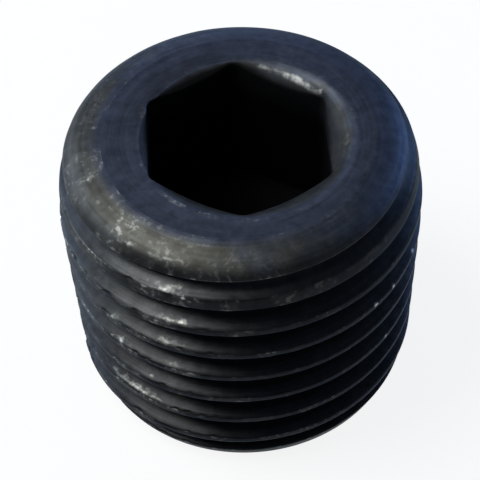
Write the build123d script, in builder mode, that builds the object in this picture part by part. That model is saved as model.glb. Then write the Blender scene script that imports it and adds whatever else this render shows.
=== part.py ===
from build123d import *
from math import atan, ceil, cos, degrees, radians, sin, tan
import os

# Hex socket plug: an R 1/4 taper pipe thread, 19 to the inch, with a socket for a 1/4 inch hex key.
# The origin is the centre of the small end's face, and +Z runs up the plug to its socket.
# Two of the socket's six flats face +X and -X.

# Body
length = 11.1
gauge_diameter = 13.157  # over the thread's crests, at the gauge plane
gauge_height = 7.0  # from the small end to the gauge plane
taper = 1 / 16  # growth of the diameter for each unit of length
shoulder_height = 1.4
shoulder_angle = 7.8  # of its side from the axis
crown_height = 1.44  # of the rounding from the shoulder to the flat ring
flat_diameter = 10.0  # outer edge of the flat ring round the socket
end_chamfer_height = 1.05
end_chamfer_width = 0.4

# Thread: the 55 degree form, with a sixth of its sharp depth cut from the crests and the roots
pitch = 25.4 / 19
flank_angle = 27.5  # of each flank from square to the axis
root_strips = 3  # flat strips that make up the root's curve
groove_start = -1.52  # height of the groove's middle on the +X side, clear below the small end
cutter_overlap = 0.05  # the flanks of the cut, carried past the crests
cutter_reach = 0.45  # the sides of the cut, carried past the crests

# Socket
hex_across_flats = 6.4
hex_depth = 5.8
floor_margin = 0.2  # from the hexagon's flats in to the edge of the conical floor
floor_angle = 120
countersink_margin = 0.165  # from the hexagon's corners out to the countersink's edge
countersink_angle = 120
countersink_centre = (0.37, -0.1)


def crest_radius(height):
    """Radius over the crests at a height above the small end."""
    return gauge_diameter / 2 + (height - gauge_height) * taper / 2


def cone_depth(radius, angle):
    """Depth of a cone from its wide end to its point."""
    return radius / tan(radians(angle / 2))


taper_angle = degrees(atan(taper / 2))
slant_pitch = pitch / cos(radians(taper_angle))  # one turn's climb, along the cone's side
flank_slope = tan(radians(flank_angle))
sharp_depth = pitch / 2 / flank_slope
cut_back = sharp_depth / 6
thread_depth = sharp_depth - 2 * cut_back
turn_count = ceil((length + pitch - groove_start) / pitch)


def groove_half_width(rise):
    """Half of the groove's width at a distance out from its root."""
    return (cut_back + rise) * flank_slope


# One closed outline of the groove, drawn with X out from the root and Y up the axis
root_rise = cut_back * sin(radians(flank_angle))
root_corner = groove_half_width(root_rise)
root_arc = ThreePointArc((root_rise, -root_corner), (0, 0), (root_rise, root_corner))
flank_end = thread_depth + cutter_overlap
side_end = thread_depth + cutter_reach
side_half_width = groove_half_width(flank_end)
groove_outline = [root_arc @ (strip / root_strips) for strip in range(root_strips + 1)] + [
    Vector(flank_end, side_half_width),
    Vector(side_end, side_half_width),
    Vector(side_end, -side_half_width),
    Vector(flank_end, -side_half_width),
]


def groove_turn(height):
    """One right-hand turn of the groove's cut, with its start's middle at a height on the +X side."""
    root_radius = crest_radius(height) - thread_depth
    helices = [
        Edge.make_helix(
            pitch=slant_pitch,
            height=slant_pitch,
            radius=root_radius + corner.X,
            center=(0, 0, height + corner.Y),
            angle=taper_angle,
        )
        for corner in groove_outline
    ]
    sides = list(zip(helices[-1:] + helices[:-1], helices))
    walls = [Face.make_surface_from_curves(first, second) for first, second in sides]
    start = Face(Wire([Edge.make_line(first @ 0, second @ 0) for first, second in sides]))
    end = Face(Wire([Edge.make_line(first @ 1, second @ 1) for first, second in sides]))
    return Solid(Shell([*walls, start, end]))


groove_turns = [groove_turn(groove_start + turn * pitch) for turn in range(turn_count)]

with BuildPart() as plug_body:
    # The turned blank: chamfered small end, crest cone, steeper shoulder, rounded crown and flat ring
    crown_start = length - crown_height
    shoulder_start = crown_start - shoulder_height
    shoulder_inset = shoulder_height * tan(radians(shoulder_angle))
    with BuildSketch(Plane.XZ):
        with BuildLine():
            crest_line = Line(
                (crest_radius(end_chamfer_height), end_chamfer_height),
                (crest_radius(shoulder_start), shoulder_start),
            )
            shoulder_line = Line(
                crest_line @ 1,
                (crest_radius(shoulder_start) - shoulder_inset, crown_start),
            )
            TangentArc(
                shoulder_line @ 1,
                (flat_diameter / 2, length),
                tangent=shoulder_line % 1,
            )
            Polyline(
                (flat_diameter / 2, length),
                (0, length),
                (0, 0),
                (crest_radius(0) - end_chamfer_width, 0),
                crest_line @ 0,
            )
        make_face()
    revolve(axis=Axis.Z)

    # The thread, cut one turn at a time
    for turn in groove_turns:
        add(turn, mode=Mode.SUBTRACT)

    # The socket: a broached hexagon with a drilled, conical floor
    with BuildSketch(Plane.XY.offset(length)):
        hexagon = RegularPolygon(hex_across_flats / 2, 6, major_radius=False, rotation=30)
    extrude(amount=-hex_depth, mode=Mode.SUBTRACT)
    floor_radius = hex_across_flats / 2 - floor_margin
    floor_depth = cone_depth(floor_radius, floor_angle)
    with Locations((0, 0, length - hex_depth - floor_depth)):
        Cone(
            bottom_radius=0,
            top_radius=floor_radius,
            height=floor_depth,
            align=(Align.CENTER, Align.CENTER, Align.MIN),
            mode=Mode.SUBTRACT,
        )

    # The countersink, its centre a little off the axis
    countersink_radius = hexagon.radius + countersink_margin
    countersink_depth = cone_depth(countersink_radius, countersink_angle)
    with Locations((*countersink_centre, length - countersink_depth)):
        Cone(
            bottom_radius=0,
            top_radius=countersink_radius,
            height=countersink_depth,
            align=(Align.CENTER, Align.CENTER, Align.MIN),
            mode=Mode.SUBTRACT,
        )

plug_body.part.label = "plug_body"

os.makedirs("parts", exist_ok=True)
export_step(plug_body.part, "parts/plug_body.step")
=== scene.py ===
import math

import bpy
import numpy as np
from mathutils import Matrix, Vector, noise


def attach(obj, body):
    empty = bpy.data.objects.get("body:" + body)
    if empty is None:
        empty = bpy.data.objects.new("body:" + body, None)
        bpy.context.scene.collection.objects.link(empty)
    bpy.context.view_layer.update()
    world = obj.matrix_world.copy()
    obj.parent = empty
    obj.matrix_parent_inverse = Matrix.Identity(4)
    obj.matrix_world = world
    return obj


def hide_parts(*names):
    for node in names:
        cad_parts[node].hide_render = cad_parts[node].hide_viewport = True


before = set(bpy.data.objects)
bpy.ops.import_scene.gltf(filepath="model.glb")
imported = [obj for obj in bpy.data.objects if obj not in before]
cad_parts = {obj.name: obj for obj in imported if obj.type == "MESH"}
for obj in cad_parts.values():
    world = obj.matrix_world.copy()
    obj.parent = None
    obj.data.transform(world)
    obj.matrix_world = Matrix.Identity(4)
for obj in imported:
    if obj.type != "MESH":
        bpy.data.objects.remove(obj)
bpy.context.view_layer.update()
scene = bpy.context.scene
mm = 0.001
print("frame loaded")


# Camera

cameraSetup = {
    "place": (-0.906, -42.596, 55.34),  # mm
    "turn": (40.43, 1.726, -3.115),  # degrees
    "lens": 131.01,  # mm
    "sensor": 36,  # mm
    "nearest": 0.001,  # m
    "farthest": 10,  # m
}


def makeCamera():
    cameraData = bpy.data.cameras.new("camera")
    cameraData.lens = cameraSetup["lens"]
    cameraData.sensor_width = cameraSetup["sensor"]
    cameraData.clip_start = cameraSetup["nearest"]
    cameraData.clip_end = cameraSetup["farthest"]
    camera = bpy.data.objects.new("camera", cameraData)
    camera.location = Vector(cameraSetup["place"]) * mm
    camera.rotation_euler = [math.radians(angle) for angle in cameraSetup["turn"]]
    scene.collection.objects.link(camera)
    scene.camera = camera


makeCamera()
print("camera made")


# Plug body: sizes in mm, angles in degrees

plug = {
    "length": 11.1,
    "gaugeDiameter": 13.157,
    "gaugeHeight": 7.0,
    "taper": 1 / 16,
    "shoulderHeight": 1.4,
    "shoulderAngle": 7.8,
    "crownHeight": 1.44,
    "crownAngle": 75,  # the crown's slope at its foot
    "bevelAngle": 17,  # and beside the flat ring
    "flatDiameter": 10.0,
    "chamferHeight": 1.05,
    "chamferWidth": 0.4,
    "pitch": 25.4 / 19,
    "flankAngle": 27.5,
    "grooveStart": -1.52,
    "hexAcrossFlats": 6.4,
    "hexDepth": 5.8,
    "floorMargin": 0.2,
    "floorAngle": 120,
    "countersinkMargin": 0.165,
    "countersinkAngle": 120,
    "countersinkCentre": (0.37, -0.1),
    "cornerRound": 0.45,  # radius of the socket's worn corners
}
plugMesh = {
    "columns": 480,  # round the axis, a multiple of 12 so that the socket's corners fall on columns
    "edgeRound": 0.045,  # how far the rounding of a crest's edge reaches each way
    "edgeShare": 0.4,  # the most of a land or a flank that it takes
    # the outline's rounded corners: how far each reaches both ways, and its points
    "rounds": {"chamfer": (0.06, 12), "shoulder": (0.5, 40), "crown": (0.6, 60), "flat": (0.16, 16)},
    "sinkCurve": 0.7,  # 0 for a straight countersink, up to 1 for one that is flat at its rim
    "arcRows": 4,  # rows over a groove's root
    "flankShares": (0.14, 0.5),  # rows down a flank, from its edge
    "landRows": 4,
    "inset": 0.003,  # mm inside the blank, so that facets don't stand proud of it
    "bendWeight": 0.9,  # mm of outline that a turn of one radian counts as when rows are spread
    "profileSteps": 3000,
    # rings, as shares of the way in or down
    "flatShares": (0.03, 0.2, 0.4, 0.6, 0.8),
    "rimShare": 0.1,  # the last ring before the countersink's rim
    "rimWidth": 0.05,  # and the most that it stands off
    "sinkShares": (0.0, 0.08, 0.2, 0.35, 0.5, 0.65, 0.8, 0.92, 1.0),
    "leastSink": 0.01,  # mm, the narrowest that its width is taken to be
    "wallShares": (0.012, 0.04, 0.12, 0.25, 0.45, 0.7, 0.95, 1.0),
    "wallInset": 0.01,  # mm
    "floorShares": (0.5, 1.0),
    "coneShares": (0.02, 0.3, 0.6, 0.85),
    "endShares": (0.985, 0.75, 0.5, 0.25),
    "mergeStep": 0.0005,  # mm, the grid on which points count as one
    "nearZero": 1e-9,
}

flankSlope = math.tan(math.radians(plug["flankAngle"]))
flankSine = math.sin(math.radians(plug["flankAngle"]))
sharpDepth = plug["pitch"] / 2 / flankSlope
cutBack = sharpDepth / 6
threadDepth = sharpDepth - 2 * cutBack
rootRound = cutBack * flankSine / (1 - flankSine)
rootCorner = rootRound * math.cos(math.radians(plug["flankAngle"]))
hexHalf = math.pi / 6  # the angle from the middle of a flat to a corner


def crestRadius(height):
    return plug["gaugeDiameter"] / 2 + (height - plug["gaugeHeight"]) * plug["taper"] / 2


def roundCorner(name, corner, back, ahead):
    # a quadratic curve that rounds a corner, given the directions back and ahead from it
    reach, count = plugMesh["rounds"][name]
    first, last = corner + back * reach, corner + ahead * reach
    share = np.linspace(0, 1, count)[:, None]
    return (1 - share) ** 2 * first + 2 * share * (1 - share) * corner + share**2 * last


def blankProfile():
    # the turned outline, from the small end's edge to the flat ring's edge, as (radius, height)
    low = np.array([crestRadius(0) - plug["chamferWidth"], 0])
    corner = np.array([crestRadius(plug["chamferHeight"]), plug["chamferHeight"]])
    crownStart = plug["length"] - plug["crownHeight"]
    shoulderStart = crownStart - plug["shoulderHeight"]
    shoulderSlope = math.tan(math.radians(plug["shoulderAngle"]))
    shoulder = np.array([crestRadius(shoulderStart), shoulderStart])
    high = shoulder + np.array([-shoulderSlope, 1]) * plug["shoulderHeight"]
    top = np.array([plug["flatDiameter"] / 2, plug["length"]])
    # the crown rises steeply from the shoulder and rounds over into a low bevel
    along = (high - shoulder) / np.linalg.norm(high - shoulder)
    crownAngle, bevelAngle = math.radians(plug["crownAngle"]), math.radians(plug["bevelAngle"])
    rise = np.array([-math.cos(crownAngle), math.sin(crownAngle)])
    bevel = np.array([-math.cos(bevelAngle), math.sin(bevelAngle)])
    riseLength, _ = np.linalg.solve(np.stack([rise, bevel], 1), top - high)
    bend = high + rise * riseLength
    side = (shoulder - corner) / np.linalg.norm(shoulder - corner)
    down = (low - corner) / np.linalg.norm(low - corner)
    outline = np.concatenate([
        [low],
        roundCorner("chamfer", corner, down, side),
        roundCorner("shoulder", shoulder, -side, along),
        [high],
        roundCorner("crown", bend, -rise, bevel),
        roundCorner("flat", top, -bevel, np.array([-1, 0])),
    ])
    lengths = np.concatenate([[0], np.cumsum(np.linalg.norm(np.diff(outline, axis=0), axis=1))])
    return outline, lengths


outline, outlineLengths = blankProfile()
outlineEnd = outlineLengths[-1]
headings = np.unwrap(np.arctan2(*np.diff(outline, axis=0).T[::-1]))
outlineBends = np.concatenate([[0, 0], np.cumsum(np.abs(np.diff(headings)))])
outlineMeasure = outlineLengths + plugMesh["bendWeight"] * outlineBends


def blankAt(distance):
    return (
        np.interp(distance, outlineLengths, outline[:, 0]),
        np.interp(distance, outlineLengths, outline[:, 1]),
    )


def between(first, last, share):
    # a distance part of the way between two others, with the steps shorter where the outline bends
    start, end = np.interp([first, last], outlineLengths, outlineMeasure)
    return np.interp(start + (end - start) * share, outlineMeasure, outlineLengths)


def grooveRadius(height, middle):
    # radius of the groove's wall at a height, for a groove whose middle is at another height
    apart = np.abs(height - middle)
    arc = rootRound - np.sqrt(np.maximum(rootRound**2 - np.minimum(apart, rootCorner) ** 2, 0))
    flank = apart / flankSlope - cutBack
    return crestRadius(middle) - threadDepth + np.where(apart < rootCorner, arc, flank)


def grooveSpans(middles):
    # where each groove meets the blank, as distances along the outline, below and above
    distance = np.linspace(0, outlineEnd, plugMesh["profileSteps"])
    radius, height = blankAt(distance)
    low = np.zeros(len(middles))
    high = np.zeros(len(middles))
    nearest = np.zeros(len(middles))
    isCut = np.zeros(len(middles), bool)
    for i, middle in enumerate(middles):
        gap = radius - grooveRadius(height, middle)
        inside = np.flatnonzero(gap > 0)
        nearest[i] = distance[np.argmax(gap)]
        if len(inside) == 0:
            continue
        isCut[i] = True
        a, b = inside[0], inside[-1]
        low[i] = distance[a] if a == 0 else np.interp(0, gap[a - 1 : a + 1], distance[a - 1 : a + 1])
        high[i] = distance[b] if b == len(gap) - 1 else np.interp(0, -gap[b : b + 2], distance[b : b + 2])
    return low, high, nearest, isCut


# kinds of row, and how many rows each edge of a groove has
inRoot, onFlank, onEdge, onLand = range(4)
edgeRows = 3


def softEdge(edge, land, wall):
    # an edge drawn in towards the points on either side
    return edge * 0.5 + (land + wall) / 4


def outsideRows():
    # points[column, row] = (radius, height), rows running up from the small end to the flat ring
    columns = plugMesh["columns"]
    turns = np.arange(columns) / columns
    lastGroove = int((plug["length"] + plug["pitch"] - plug["grooveStart"]) / plug["pitch"]) + 1
    reach = plugMesh["edgeRound"]
    edgeShare = plugMesh["edgeShare"]
    spans = []
    for groove in range(lastGroove + 1):
        middles = plug["grooveStart"] + (groove + turns) * plug["pitch"]
        low, high, nearest, isCut = grooveSpans(middles)
        above = ~isCut & (middles > plug["length"] / 2)
        low[above] = high[above] = nearest[above]
        if above.any() and isCut.any():
            # past its end, a groove's rows drift up to the flat ring
            start = turns[above][0]
            share = (turns[above] - start) / (1 - start)
            share = share * share * (3 - 2 * share)
            low[above] = high[above] = nearest[above] + (outlineEnd - nearest[above]) * share
        elif above.all():
            low[:] = high[:] = outlineEnd
        below = ~isCut & (middles < plug["length"] / 2)
        low[below] = high[below] = 0
        spans.append((middles, low, high, isCut))
    rows = []
    kinds = []

    def addRow(radius, height, kind):
        rows.append(np.stack([radius, height], 1))
        kinds.append(kind)

    for groove, (middles, low, high, isCut) in enumerate(spans):
        lowRadius, lowHeight = blankAt(low)
        highRadius, highHeight = blankAt(high)
        before = low - spans[groove - 1][2] if groove else low
        after = spans[groove + 1][1] - high if groove < lastGroove else outlineEnd - high
        flankReach = reach * flankSine

        def onWall(height):
            height = np.clip(height, lowHeight, highHeight)
            radius = np.where(isCut, grooveRadius(height, middles), lowRadius)
            return radius, height

        half = np.linspace(-1, 1, plugMesh["arcRows"] + 1) * rootCorner
        lowFlank = np.maximum(middles - half[-1] - lowHeight, 0)
        highFlank = np.maximum(highHeight - middles - half[-1], 0)
        if groove:
            start = np.minimum(reach, before * edgeShare)
            inner = np.minimum(flankReach, lowFlank * edgeShare)
            landRadius, landHeight = blankAt(low - start)
            wallRadius, wallHeight = onWall(lowHeight + inner)
            addRow(landRadius, landHeight, onLand)
            addRow(
                softEdge(lowRadius, landRadius, wallRadius),
                softEdge(lowHeight, landHeight, wallHeight),
                onEdge,
            )
            addRow(wallRadius, wallHeight, onFlank)
            for share in plugMesh["flankShares"]:
                addRow(*onWall(lowHeight + inner + (lowFlank - inner) * share), onFlank)
        for offset in half:
            addRow(*onWall(middles + offset), inRoot)
        if groove < lastGroove:
            inner = np.minimum(flankReach, highFlank * edgeShare)
            for share in plugMesh["flankShares"][::-1]:
                addRow(*onWall(highHeight - inner - (highFlank - inner) * share), onFlank)
            start = np.minimum(reach, after * edgeShare)
            landRadius, landHeight = blankAt(high + start)
            wallRadius, wallHeight = onWall(highHeight - inner)
            addRow(wallRadius, wallHeight, onFlank)
            addRow(
                softEdge(highRadius, landRadius, wallRadius),
                softEdge(highHeight, landHeight, wallHeight),
                onEdge,
            )
            addRow(landRadius, landHeight, onLand)
            for step in range(1, plugMesh["landRows"]):
                share = step / plugMesh["landRows"]
                addRow(*blankAt(between(high + start, high + after - start, share)), onLand)
    points = np.stack(rows, 1)
    # below the small end every row lies on the end's own edge
    endRadius = np.full(columns, blankAt(0)[0])
    for middles, low, high, isCut in spans:
        cutAtEnd = isCut & (low <= 0)
        endRadius = np.where(cutAtEnd, np.minimum(endRadius, grooveRadius(0, middles)), endRadius)
    for row in range(points.shape[1]):
        atEnd = points[:, row, 1] <= plugMesh["nearZero"]
        points[atEnd, row, 0] = endRadius[atEnd]
    # the rows of one groove and of the land above it
    sideRows = len(plugMesh["flankShares"]) + edgeRows
    rowsPerTurn = plugMesh["arcRows"] + 2 * sideRows + plugMesh["landRows"]
    return points, np.array(kinds), rowsPerTurn, turns * 2 * math.pi


def socketWall(angles):
    # distance from the axis to the socket's wall, with rounded corners
    across = plug["hexAcrossFlats"] / 2
    cornerRound = plug["cornerRound"]
    fromFlat = np.abs((angles + hexHalf) % (2 * hexHalf) - hexHalf)
    fromCorner = hexHalf - fromFlat
    centre = (across - cornerRound) / math.cos(hexHalf)
    aside = centre * np.sin(fromCorner)
    rounded = centre * np.cos(fromCorner) + np.sqrt(np.maximum(cornerRound**2 - aside**2, 0))
    tangent = math.atan((across - cornerRound) * math.tan(hexHalf) / across)
    return np.where(fromFlat > tangent, rounded, across / np.cos(fromFlat))


def socketRings(angles):
    # rings from the flat ring's edge down to the floor's point, each as (x, y, z) for every column
    across = plug["hexAcrossFlats"] / 2
    top = plug["length"]
    wall = socketWall(angles)
    sinkRadius = across / math.cos(hexHalf) + plug["countersinkMargin"]
    sinkX, sinkY = plug["countersinkCentre"]
    sinkSlope = 1 / math.tan(math.radians(plug["countersinkAngle"] / 2))
    ahead = sinkX * np.cos(angles) + sinkY * np.sin(angles)
    aside = sinkY * np.cos(angles) - sinkX * np.sin(angles)
    rim = np.maximum(ahead + np.sqrt(sinkRadius**2 - aside**2), wall)
    curve = plugMesh["sinkCurve"]

    def inward(radius):
        x = radius * np.cos(angles) - sinkX
        y = radius * np.sin(angles) - sinkY
        return np.maximum(sinkRadius - np.hypot(x, y), 0)

    widths = np.maximum(inward(wall), plugMesh["leastSink"])

    def sinkHeight(radius):
        # shallow at the rim and steep at the wall
        share = inward(radius) / widths
        return top - inward(radius) * sinkSlope * (1 - curve + curve * share)

    def ring(radius, height):
        radius = np.broadcast_to(radius, angles.shape)
        height = np.broadcast_to(height, angles.shape)
        return np.stack([radius * np.cos(angles), radius * np.sin(angles), height], 1)

    edge = outline[-1, 0]
    rings = []
    for share in plugMesh["flatShares"]:
        rings.append(ring(edge + (rim - edge) * share, top))
    rings.append(ring(rim + np.minimum((edge - rim) * plugMesh["rimShare"], plugMesh["rimWidth"]), top))
    for share in plugMesh["sinkShares"]:
        radius = rim - (rim - wall) * share
        rings.append(ring(radius, sinkHeight(radius)))
    wallTop = sinkHeight(wall)
    floor = top - plug["hexDepth"]
    for share in plugMesh["wallShares"]:
        rings.append(ring(wall - plugMesh["wallInset"], wallTop + (floor - wallTop) * share))
    floorEdge = across - plug["floorMargin"]
    floorSlope = 1 / math.tan(math.radians(plug["floorAngle"] / 2))
    for share in plugMesh["floorShares"]:
        rings.append(ring(wall + (floorEdge - wall) * share, floor))
    for share in plugMesh["coneShares"]:
        rings.append(ring(floorEdge * (1 - share), floor - floorEdge * share * floorSlope))
    return rings, floor - floorEdge * floorSlope


# Wear and painted shade and light in the finish: lengths in mm, angles in degrees

plugWearAndPaintedLight = {
    "knockAngle": -152,  # the side that has had the most knocks
    "knockPower": 4,
    "leastKnock": 0.03,  # the share of knocks below which crests have no dents
    "nickDepth": 0.05,
    "nicksPerLength": 2.9,  # per mm
    "nickLevel": 0.32,  # of the noise, where a dent begins
    "nickSpread": 0.2,  # from there to a full dent
    "leastRub": 0.12,  # the share of the rubbing that is left away from the knocks
    "landRub": 0.3,  # of a land, where a groove's edge has 1
    "rimRubAndGlint": 0.8,  # of the countersink's rim, partly a rubbed edge and partly a painted highlight line
    "cutFrom": 0.03,  # as a share of the thread's depth
    "leastCut": 0.15,
    "lowTurnDarkening": 0.5,  # added to the depth on the lowest turns, which darkens them
    "lowTurnDarkeningTop": 7.5,  # the height where it starts
    "lowTurnDarkeningReach": 4.5,  # and how far below that it is full
    "crestShadeDrop": 0.42,  # how far below the top the painted shade starts
    "crestShadeFade": 0.18,
    "chamferFade": 0.1,
    "crestShadeLift": 0.8,  # how much of it is lifted at the far left, as painted light
    "crestShadeLiftFrom": 3.6,  # to the left of the axis
    "crestShadeLiftFade": 2,
    "ringFade": 0.06,
    "insideFrom": 0.3,  # how far below the top the painted shade in the socket starts
    "insideFade": 0.9,
    "wallInside": 0.75,  # the least on its wall
    "sinkShadeFrom": 0.4,  # share of the way down the countersink where the painted shade starts
    "sinkShade": 0.85,
    "sinkShadeAngle": 125,
    "sinkShadeBack": 0.95,  # its strength beside the axis
    "sinkShadeReach": 3,  # from front to back, for its strength to rise by 1
    "ringShade": 0.45,
    "ringShadeAngle": 130,
    "ringShadeRadius": 4.7,
    "ringShadeFade": 0.9,
}

# worn places and painted glints, patches of bare steel that are partly wear and partly painted highlights
# on the crown, flanks, flat ring's edge and countersink: angle, radius, height, reach along the thread
# and across it, and strength
wearAndGlintPlaces = (
    (-116, 6.28, 9.74, 0.8, 0.32, 0.4),
    (-110, 6.43, 9.65, 0.07, 0.08, 1),
    (-117, 6.42, 8.32, 0.9, 0.25, 0.35),
    (-111, 6.42, 8.28, 0.2, 0.15, 0.6),
    (-117, 6.42, 6.95, 0.9, 0.25, 0.35),
    (-116, 6.4, 5.62, 0.5, 0.2, 0.35),
    (-137, 6.5, 6.82, 0.35, 0.1, 0.5),
    (-139, 6.45, 5.5, 0.6, 0.1, 0.4),
    (-132, 6.4, 5.45, 0.5, 0.1, 0.35),
    (-136, 6.44, 5.5, 0.25, 0.13, 0.55),
    (-152, 6.35, 3.25, 0.5, 0.15, 0.7),
    (-125, 6.28, 4.28, 0.12, 0.12, 0.7),
    (-136, 6.3, 2.95, 1.9, 0.18, 0.6),
    (-118, 6.27, 2.78, 1.3, 0.13, 0.4),
    (-131, 5.85, 10.8, 0.3, 0.1, 0.9),
    (-117, 5.9, 10.78, 1.0, 0.1, 0.45),
    (-111, 5.9, 10.78, 0.35, 0.08, 0.5),
    (164, 5.09, 11.08, 0.5, 0.06, 1),
    (171, 5.1, 11.08, 0.12, 0.08, 1),
    (152, 5.09, 11.08, 0.35, 0.06, 0.8),
    (53, 3.59, 10.86, 1.3, 0.14, 1),
    (72, 3.6, 10.94, 0.6, 0.12, 0.6),
    (34, 3.75, 10.86, 0.12, 0.12, 1),
    (-7, 3.8, 10.95, 0.55, 0.09, 0.75),
    (-23, 6.55, 7.24, 0.12, 0.1, 0.8),
    (-38, 6.58, 7.1, 0.1, 0.1, 0.8),
    (-47, 6.58, 7.09, 0.12, 0.1, 0.8),
    (-40, 6.5, 4.37, 0.1, 0.12, 0.7),
)


def knocks(angle):
    return (0.5 + 0.5 * np.cos(angle - math.radians(plugWearAndPaintedLight["knockAngle"]))) ** plugWearAndPaintedLight["knockPower"]


def nickCrests(outside, kinds, angles):
    # small dents in the crests and their edges
    knocked = knocks(angles)
    for row in np.flatnonzero(kinds >= onEdge):
        for column in np.flatnonzero(knocked > plugWearAndPaintedLight["leastKnock"]):
            x, y, z = outside[column, row]
            if z > plug["length"] - plug["crownHeight"]:
                continue
            level = noise.noise(Vector((x, y, z)) * plugWearAndPaintedLight["nicksPerLength"]) - plugWearAndPaintedLight["nickLevel"]
            share = min(max(level, 0) / plugWearAndPaintedLight["nickSpread"], 1)
            depth = share * plugWearAndPaintedLight["nickDepth"] * knocked[column]
            outside[column, row, :2] *= 1 - depth / math.hypot(x, y)


def shadeSide(angle, middle):
    # 1 at an angle in degrees, down to 0 at 60 degrees to either side
    return np.clip(2 * np.cos(angle - math.radians(middle)) - 1, 0, 1)


def plugMasks(coordinates, kinds, columns, rowCount):
    wearAndPaintedLight = plugWearAndPaintedLight
    count = len(coordinates)
    angle = np.arctan2(coordinates[:, 1], coordinates[:, 0])
    radius = np.hypot(coordinates[:, 0], coordinates[:, 1])
    height = coordinates[:, 2]
    # the parts of the list of points
    outsideCount = columns * rowCount
    sinkStart = outsideCount + (len(plugMesh["flatShares"]) + 1) * columns
    wallStart = sinkStart + len(plugMesh["sinkShares"]) * columns
    floorRings = len(plugMesh["floorShares"]) + len(plugMesh["coneShares"])
    socketEnd = wallStart + (len(plugMesh["wallShares"]) + floorRings) * columns + 1
    outer = slice(0, outsideCount)
    flat = slice(outsideCount, sinkStart)
    socket = slice(sinkStart, socketEnd)
    # the finish rubs through on edges first
    edge = np.zeros(count)
    rubs = np.select([kinds == onEdge, kinds == onLand], [1.0, wearAndPaintedLight["landRub"]])
    edge[outer] = np.tile(rubs, columns)
    # the countersink's rim: partly a rubbed edge, partly a painted highlight line
    edge[sinkStart - columns : sinkStart + columns] = wearAndPaintedLight["rimRubAndGlint"]
    edge *= wearAndPaintedLight["leastRub"] + (1 - wearAndPaintedLight["leastRub"]) * knocks(angle)
    # how deep in the thread a point is, from 0 on a crest to 1 in a root; the film is darkened by it as
    # painted shade
    cut = np.zeros(count)
    blankRadius = np.interp(height[outer], outline[:, 1], outline[:, 0])
    depth = (blankRadius - radius[outer]) / threadDepth
    # the lower turns are darker
    lowTurnDarkening = wearAndPaintedLight["lowTurnDarkening"] * np.clip((wearAndPaintedLight["lowTurnDarkeningTop"] - height[outer]) / wearAndPaintedLight["lowTurnDarkeningReach"], 0, 1)
    cut[outer] = np.where(depth > wearAndPaintedLight["cutFrom"], np.clip(depth + lowTurnDarkening, wearAndPaintedLight["leastCut"], 1), 0)
    # painted shade on the crests and below the crown, standing in for the dark ground that they reflect
    crestShade = np.zeros(count)
    isCrestShade = np.clip((plug["length"] - wearAndPaintedLight["crestShadeDrop"] - height[outer]) / wearAndPaintedLight["crestShadeFade"], 0, 1)
    isCrestShade *= np.clip((height[outer] - plug["chamferHeight"]) / wearAndPaintedLight["chamferFade"] + 1, 0, 1)
    # painted light: the shade is taken off the crests at the far left, which look lit there
    left = np.clip((-coordinates[outer, 0] - wearAndPaintedLight["crestShadeLiftFrom"]) / wearAndPaintedLight["crestShadeLiftFade"], 0, 1)
    crestShade[outer] = np.where(cut[outer] > 0, 0, isCrestShade) * (1 - wearAndPaintedLight["crestShadeLift"] * left)
    # the flat ring
    ring = np.clip((height - plug["length"] + wearAndPaintedLight["ringFade"]) / wearAndPaintedLight["ringFade"], 0, 1)
    # painted shade in the socket: how deep in it a point is, from 0 on the countersink to 1 well inside
    inside = np.zeros(count)
    drop = plug["length"] - wearAndPaintedLight["insideFrom"] - height[socket]
    inside[socket] = np.clip(drop / wearAndPaintedLight["insideFade"], 0, 1)
    # painted shade darkens the countersink's foot, most at the back left
    sinkShadeFrom = wearAndPaintedLight["sinkShadeFrom"]
    for place, share in enumerate(plugMesh["sinkShares"]):
        start = sinkStart + place * columns
        part = slice(start, start + columns)
        back = np.clip(coordinates[part, 1] / wearAndPaintedLight["sinkShadeReach"] + wearAndPaintedLight["sinkShadeBack"], 0, 1)
        left = shadeSide(angle[part], wearAndPaintedLight["sinkShadeAngle"])
        sinkShading = np.clip((share - sinkShadeFrom + sinkShadeFrom * left) / (1 - sinkShadeFrom), 0, 1)
        inside[part] = sinkShading * wearAndPaintedLight["sinkShade"] * back
    # and reaches the flat ring there
    near = np.clip((wearAndPaintedLight["ringShadeRadius"] - radius[flat]) / wearAndPaintedLight["ringShadeFade"], 0, 1)
    inside[flat] = wearAndPaintedLight["ringShade"] * near * shadeSide(angle[flat], wearAndPaintedLight["ringShadeAngle"])
    # painted shade on the socket's wall and floor, never less than this
    inside[wallStart:socketEnd] = np.maximum(inside[wallStart:socketEnd], wearAndPaintedLight["wallInside"])
    wearAndGlint = np.zeros(count)
    for placeAngle, placeRadius, placeHeight, along, across, strength in wearAndGlintPlaces:
        turn = (angle - math.radians(placeAngle) + math.pi) % (2 * math.pi) - math.pi
        offAlong = turn * placeRadius / along
        offAcross = np.hypot(radius - placeRadius, height - placeHeight) / across
        wearAndGlint = np.maximum(wearAndGlint, strength * np.exp(-(offAlong**2) - offAcross**2))
    return {"edge": edge, "cut": cut, "crestShade": crestShade, "ring": ring, "inside": inside, "wearAndGlint": wearAndGlint}


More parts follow.
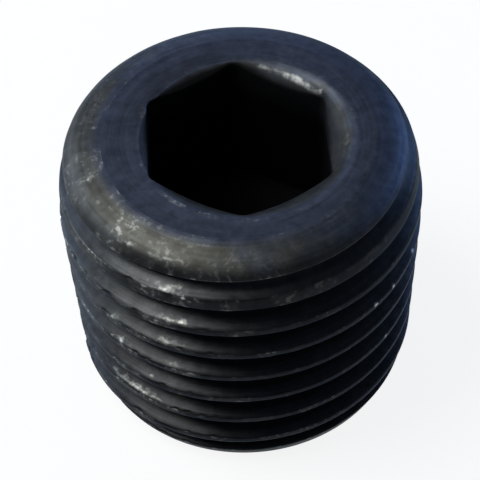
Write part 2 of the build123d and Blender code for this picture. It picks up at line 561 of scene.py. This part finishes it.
def buildPlug():
    points, kinds, rowsPerTurn, angles = outsideRows()
    columns, rowCount = points.shape[:2]
    radius, height = points[..., 0] - plugMesh["inset"], points[..., 1]
    outside = np.stack(
        [radius * np.cos(angles)[:, None], radius * np.sin(angles)[:, None], height], 2
    )
    nickCrests(outside, kinds, angles)
    rings, floorPoint = socketRings(angles)
    coordinates = [outside.reshape(-1, 3)]
    faces = []
    column = np.arange(columns)
    for row in range(rowCount - 1):
        # the last column meets the first one turn higher up the thread
        first = column * rowCount + row
        following = (column + 1) * rowCount + row
        lifted = np.minimum(np.array([row, row + 1]) + rowsPerTurn, rowCount - 1)
        following[-1] = lifted[0]
        followingUp = following + 1
        followingUp[-1] = lifted[1]
        faces.append(np.stack([first, following, followingUp, first + 1], 1))
    start = columns * rowCount
    inner = column * rowCount + rowCount - 1
    for ring in rings:
        coordinates.append(ring)
        outer, inner = inner, start + column
        faces.append(np.stack([outer, np.roll(outer, -1), np.roll(inner, -1), inner], 1))
        start += columns
    coordinates.append([[0, 0, floorPoint]])
    point = np.full(columns, start)
    faces.append(np.stack([inner, np.roll(inner, -1), point, point], 1))
    start += 1
    # the small end
    inner = column * rowCount
    endEdge = outside[:, 0]
    for share in plugMesh["endShares"]:
        coordinates.append(endEdge * [share, share, 0])
        outer, inner = inner, start + column
        faces.append(np.stack([inner, np.roll(inner, -1), np.roll(outer, -1), outer], 1))
        start += columns
    coordinates.append([[0, 0, 0]])
    point = np.full(columns, start)
    faces.append(np.stack([point, point, np.roll(inner, -1), inner], 1))
    coordinates = np.concatenate(coordinates)
    faces = np.concatenate(faces)
    return coordinates, faces, plugMasks(coordinates, kinds, columns, rowCount)


def mergedMesh(name, coordinates, faces, masks):
    # points that lie in one place become one, and faces that this flattens are dropped
    keys = np.round(coordinates / plugMesh["mergeStep"]).astype(np.int64)
    _, firsts, groups = np.unique(keys, axis=0, return_index=True, return_inverse=True)
    groups = groups.reshape(-1)
    kept = []
    for face in groups[faces].tolist():
        corners = [v for n, v in enumerate(face) if v != face[n - 1]]
        if len(corners) > 2 and len(set(corners)) == len(corners):
            kept.append(corners)
    mesh = bpy.data.meshes.new(name)
    mesh.from_pydata((coordinates[firsts] * mm).tolist(), [], kept)
    for maskName, values in masks.items():
        mask = mesh.attributes.new(maskName, "FLOAT", "POINT")
        mask.data.foreach_set("value", values[firsts].astype(np.float32))
    mesh.validate()
    mesh.update()
    mesh.shade_smooth()
    return mesh


plugBody = bpy.data.objects.new("plugBody", mergedMesh("plugBody", *buildPlug()))
scene.collection.objects.link(plugBody)
print("plug body built:", len(plugBody.data.vertices), "points,", len(plugBody.data.polygons), "faces")


# Finish of the steel: a black oxide film, thin and brown in places and rubbed through on the edges, with
# painted shade in the thread, on the crests and in the socket, and painted highlights in bare steel

steelLook = {
    "ringFilm": (0.049, 0.055, 0.072, 1),
    "film": (0.052, 0.06, 0.078, 1),
    "thinFilm": (0.053, 0.052, 0.046, 1),
    "flankFilm": (0.032, 0.033, 0.034, 1),
    # painted shade at the roots of the grooves
    "rootShade": (0.016, 0.016, 0.017, 1),
    # painted shade on the crests and below the crown
    "crestShadeColour": (0.013, 0.013, 0.015, 1),
    # bare steel, also used for painted highlights
    "bareSteelAndGlint": (0.65, 0.65, 0.61, 1),
    # painted shade inside the socket
    "socket": (0.006, 0.006, 0.007, 1),
    "edgeTint": (0.6, 0.66, 0.74, 1),
    "roughness": 0.5,
    "roughnessSpread": 0.1,
    "cutRoughness": 0.34,
    "insideRoughness": 0.3,  # added well inside the socket
    "cutFrom": 0.1,  # where a point counts as cut
    "grainHeight": 0.008,  # mm
    "marksHeight": 0.006,  # mm
    "marksStretch": (5, 0.12),  # across the turning marks and along them
    "leastShade": 0.57,  # of the film, and what the patterns add to it
    "mottleShade": 0.35,
    "grainShade": 0.5,
    "marksShade": 0.8,
    "thinning": (-0.04, -0.03),  # of the film, per mm to the right and to the back
    "sinkThinning": 0.2,
    "sinkEdge": (4.1, 3.9),  # mm, the radii where it starts and is full
    "thinRange": (0.35, 0.68),
    "speckleWear": (0.6, 0.12),  # of an edge: what a speckle adds, and the least
    "raggedness": 2.2,
    "wearAndGlintGain": 2.4,
    "wearAndGlintFrom": 0.45,
    "pitRange": (0.36, 0.6),
    "leastPit": 0.15,  # how much bare steel is left in a pit
    # scale per mm, detail and roughness, and for some the range that is spread from 0 to 1
    "patterns": {
        "marks": (1.6, 3, 0.5),
        "blotches": (0.5, 4, 0.6),
        "grain": (3.2, 6, 0.62),
        "mottle": (2.2, 5, 0.6, 0.3, 0.7),
        "speckle": (5.5, 3, 0.5, 0.5, 0.66),
        "patchy": (0.9, 3, 0.5, 0.42, 0.66),
        "ragged": (4.5, 4, 0.6),
    },
}


def addNode(tree, kind, inputs=None, **settings):
    node = tree.nodes.new("ShaderNode" + kind)
    for name, value in settings.items():
        setattr(node, name, value)
    for name, value in (inputs or {}).items():
        if isinstance(value, bpy.types.NodeSocket):
            tree.links.new(value, node.inputs[name])
        else:
            node.inputs[name].default_value = value
    return node


def addMath(tree, operation, *values):
    return addNode(tree, "Math", dict(enumerate(values)), operation=operation).outputs[0]


def addRamp(tree, value, low, high, least=0, most=1, smooth=False):
    node = addNode(
        tree,
        "MapRange",
        {"Value": value, "From Min": low, "From Max": high, "To Min": least, "To Max": most},
        interpolation_type="SMOOTHSTEP" if smooth else "LINEAR",
    )
    return node.outputs["Result"]


def addPattern(tree, vector, name):
    scale, detail, roughness, *spread = steelLook["patterns"][name]
    inputs = {"Vector": vector, "Scale": scale, "Detail": detail, "Roughness": roughness}
    pattern = addNode(tree, "TexNoise", inputs).outputs["Fac"]
    return addRamp(tree, pattern, *spread, smooth=True) if spread else pattern


def addMix(tree, mask, first, second):
    # sockets 6 and 7 of a Mix node are its two colours, and output 2 its mixed colour
    return addNode(tree, "Mix", {0: mask, 6: first, 7: second}, data_type="RGBA").outputs[2]


def makeSteel():
    look = steelLook
    material = bpy.data.materials.new("blackSteel")
    material.use_nodes = True
    tree = material.node_tree
    shader = tree.nodes["Principled BSDF"]
    shader.inputs["Metallic"].default_value = 1
    shader.inputs["Specular Tint"].default_value = look["edgeTint"]
    # patterns are laid out in mm
    place = addNode(tree, "TexCoord").outputs["Object"]
    place = addNode(tree, "VectorMath", {0: place, "Scale": 1 / mm}, operation="SCALE").outputs[0]
    edge, cut, crestShade, ring, inside, wearAndGlint = (
        addNode(tree, "Attribute", attribute_name=name).outputs["Fac"]
        for name in ("edge", "cut", "crestShade", "ring", "inside", "wearAndGlint")
    )
    split = addNode(tree, "SeparateXYZ", {0: place}).outputs
    flatPlace = addNode(tree, "CombineXYZ", {0: split[0], 1: split[1]}).outputs[0]
    radius = addNode(tree, "VectorMath", {0: flatPlace}, operation="LENGTH").outputs["Value"]
    # turning marks run round the axis
    acrossMarks, alongMarks = look["marksStretch"]
    alongX = addMath(tree, "MULTIPLY", split[0], alongMarks)
    alongY = addMath(tree, "MULTIPLY", split[1], alongMarks)
    across = addMath(tree, "MULTIPLY", radius, acrossMarks)
    marksPlace = addNode(tree, "CombineXYZ", {0: across, 1: alongX, 2: alongY}).outputs[0]
    marks = addPattern(tree, marksPlace, "marks")
    # the film is thinner towards the left and the front and in the countersink
    blotches = addPattern(tree, place, "blotches")
    for axis, thinning in enumerate(look["thinning"]):
        blotches = addMath(tree, "MULTIPLY_ADD", split[axis], thinning, blotches)
    inSink = addRamp(tree, radius, *look["sinkEdge"], most=look["sinkThinning"])
    blotches = addMath(tree, "ADD", blotches, inSink)
    blotches = addRamp(tree, blotches, *look["thinRange"], smooth=True)
    grain = addPattern(tree, place, "grain")
    # edges are rubbed in patches, and the countersink's rim carries a painted highlight line
    wearAndPaintedLight = addMath(tree, "MULTIPLY_ADD", addPattern(tree, place, "speckle"), *look["speckleWear"])
    wearAndPaintedLight = addMath(tree, "MULTIPLY", edge, wearAndPaintedLight)
    wearAndPaintedLight = addMath(tree, "MULTIPLY", wearAndPaintedLight, addPattern(tree, place, "patchy"))
    # worn places and painted glints have ragged borders and pits
    raggedness = look["raggedness"]
    ragged = addPattern(tree, place, "ragged")
    ragged = addMath(tree, "MULTIPLY_ADD", ragged, raggedness, -raggedness / 2 - look["wearAndGlintFrom"])
    rubbedAndGlint = addMath(tree, "MULTIPLY_ADD", wearAndGlint, look["wearAndGlintGain"], ragged)
    rubbedAndGlint = addMath(tree, "MULTIPLY", addRamp(tree, rubbedAndGlint, 0, 1, smooth=True), wearAndGlint)
    pits = addRamp(tree, grain, *look["pitRange"], least=look["leastPit"])
    rubbedAndGlint = addMath(tree, "MULTIPLY", rubbedAndGlint, pits)
    wearAndPaintedLight = addMath(tree, "MAXIMUM", wearAndPaintedLight, rubbedAndGlint)
    film = addMix(tree, blotches, look["film"], look["thinFilm"])
    film = addMix(tree, ring, film, look["ringFilm"])
    # painted shade: the film darkens from the flank colour towards the root colour deeper in the groove
    paintedGrooveShade = addMix(tree, cut, look["flankFilm"], look["rootShade"])
    isCut = addMath(tree, "GREATER_THAN", cut, look["cutFrom"])
    film = addMix(tree, isCut, film, paintedGrooveShade)
    # painted shade on the crests and below the crown
    film = addMix(tree, crestShade, film, look["crestShadeColour"])
    # lighter and darker mottling, and the tool's marks
    mottle = addPattern(tree, place, "mottle")
    shade = addMath(tree, "MULTIPLY_ADD", mottle, look["mottleShade"], look["leastShade"])
    shade = addMath(tree, "MULTIPLY_ADD", grain, look["grainShade"], shade)
    marksAside = addMath(tree, "SUBTRACT", marks, 0.5)
    shade = addMath(tree, "MULTIPLY_ADD", marksAside, look["marksShade"], shade)
    film = addNode(tree, "VectorMath", {0: film, "Scale": shade}, operation="SCALE").outputs[0]
    # rubbed edges, worn places and painted highlights in bare steel
    colour = addMix(tree, wearAndPaintedLight, film, look["bareSteelAndGlint"])
    # painted shade in the socket, at the countersink's foot and on the flat ring beside it
    colour = addMix(tree, inside, colour, look["socket"])
    tree.links.new(colour, shader.inputs["Base Color"])
    spread = look["roughnessSpread"]
    rough = addMath(tree, "MULTIPLY_ADD", grain, 2 * spread, look["roughness"] - spread)
    rough = addMath(tree, "MULTIPLY_ADD", isCut, look["cutRoughness"] - look["roughness"], rough)
    rough = addMath(tree, "MULTIPLY_ADD", inside, look["insideRoughness"], rough)
    tree.links.new(rough, shader.inputs["Roughness"])
    height = addMath(tree, "MULTIPLY", grain, look["grainHeight"])
    height = addMath(tree, "MULTIPLY_ADD", marks, look["marksHeight"], height)
    bump = addNode(tree, "Bump", {"Height": height, "Distance": mm, "Strength": 1})
    tree.links.new(bump.outputs["Normal"], shader.inputs["Normal"])
    return material


plugBody.data.materials.append(makeSteel())
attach(plugBody, "root")
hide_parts("plug_body")
print("steel finished")


# Floor, surroundings and light

# each lamp is a disk: its direction and distance from the plug in m, how wide it looks from there
# in degrees, and its radiance
lightSetup = {
    "lamps": {
        "key": {
            "from": (-0.455, 0.045, 0.89),
            "distance": 0.16,
            "halfAngle": 16,
            "colour": (8.7, 8.9, 8.7),
        },
        "left": {
            "from": (-0.88, 0.4, 0.22),
            "distance": 0.2,
            "halfAngle": 24,
            "colour": (2.8, 3.3, 4.1),
        },
        "front": {
            "from": (-0.52, -0.25, 0.82),
            "distance": 0.2,
            "halfAngle": 5.5,
            "colour": (6.6, 6.6, 6.2),
        },
        "back": {
            "from": (0.8, 0.54, 0.26),
            "distance": 0.2,
            "halfAngle": 18,
            "colour": (1.0, 1.7, 3.4),
        },
        "behind": {
            "from": (-0.05, 0.93, 0.36),
            "distance": 0.2,
            "halfAngle": 21,
            "colour": (0.72, 0.85, 1.25),
        },
    },
    "world": (0.1, 0.12, 0.165, 1),
    "floor": (0.95, 0.95, 0.95, 1),
    "floorRoughness": 0.9,
    "floorSide": 1.2,  # m
    "floorWhite": 0.87,  # the share of white in what the camera sees, the rest being the lit floor
}


def makeFloor():
    mesh = bpy.data.meshes.new("floor")
    half = lightSetup["floorSide"] / 2
    corners = [(x * half, y * half, 0) for x, y in ((-1, -1), (1, -1), (1, 1), (-1, 1))]
    mesh.from_pydata(corners, [], [range(4)])
    floor = bpy.data.objects.new("floor", mesh)
    scene.collection.objects.link(floor)
    material = bpy.data.materials.new("floor")
    material.use_nodes = True
    tree = material.node_tree
    shader = tree.nodes["Principled BSDF"]
    shader.inputs["Base Color"].default_value = lightSetup["floor"]
    shader.inputs["Roughness"].default_value = lightSetup["floorRoughness"]
    # white to the camera and in reflections, with some of the shadow kept
    white = addNode(tree, "Emission", {"Color": (1, 1, 1, 1), "Strength": 1})
    rays = addNode(tree, "LightPath").outputs
    seen = addMath(tree, "MAXIMUM", rays["Is Camera Ray"], rays["Is Glossy Ray"])
    seen = addMath(tree, "MAXIMUM", seen, rays["Is Transmission Ray"])
    share = addMath(tree, "MULTIPLY", seen, lightSetup["floorWhite"])
    mixed = addNode(tree, "MixShader", {0: share, 1: shader.outputs[0], 2: white.outputs[0]})
    tree.links.new(mixed.outputs[0], tree.nodes["Material Output"].inputs["Surface"])
    mesh.materials.append(material)


def makeWorld():
    world = bpy.data.worlds.new("surroundings")
    scene.world = world
    world.use_nodes = True
    world.node_tree.nodes["Background"].inputs["Color"].default_value = lightSetup["world"]


def makeLamps():
    middle = Vector((0, 0, plug["length"] / 2 * mm))
    for name, lamp in lightSetup["lamps"].items():
        radius = lamp["distance"] * math.tan(math.radians(lamp["halfAngle"]))
        brightest = max(lamp["colour"])
        lampData = bpy.data.lights.new(name, "AREA")
        lampData.shape = "DISK"
        lampData.size = 2 * radius
        lampData.energy = brightest * math.pi**2 * radius**2
        lampData.color = [part / brightest for part in lamp["colour"]]
        lampObject = bpy.data.objects.new(name, lampData)
        direction = Vector(lamp["from"]).normalized()
        lampObject.location = middle + direction * lamp["distance"]
        lampObject.rotation_mode = "QUATERNION"
        lampObject.rotation_quaternion = direction.to_track_quat("Z", "Y")
        lampObject.visible_camera = False
        scene.collection.objects.link(lampObject)


makeFloor()
makeWorld()
makeLamps()
scene.view_settings.view_transform = "Standard"
print("light made")
